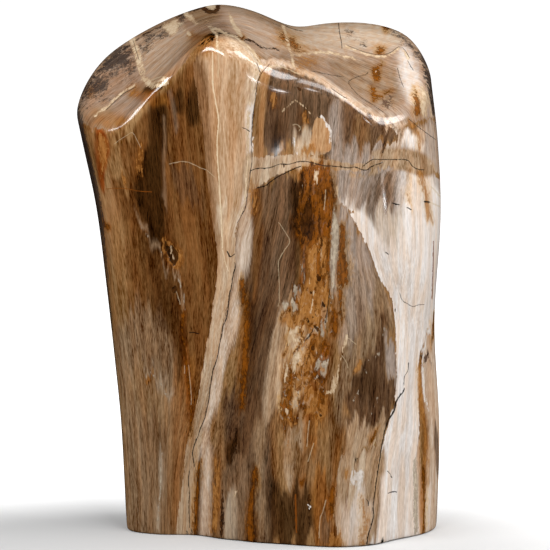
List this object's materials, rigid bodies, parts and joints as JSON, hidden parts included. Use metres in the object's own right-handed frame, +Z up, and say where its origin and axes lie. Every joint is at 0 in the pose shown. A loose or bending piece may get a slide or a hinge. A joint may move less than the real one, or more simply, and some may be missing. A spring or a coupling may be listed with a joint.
{
  "type": "petrified wood",
  "caption": "Upright block of petrified wood, polished all over, with a fluted front, a sloping end-grain crown and a sawn flat base that it stands on.",
  "frame": {"origin": "middle of the bounding box, on the flat base that the stone stands on", "axes": "+Z up along the fossil grain; +X to the right as seen from the front; the broad front with the crown's low rim faces -Y"},
  "size_m": [0.2674, 0.1466, 0.3844],
  "materials": {
    "polished_stone": "polished"
  },
  "bodies": {
    "root": {"petrified_wood": "polished_stone"}
  },
  "joints": []
}
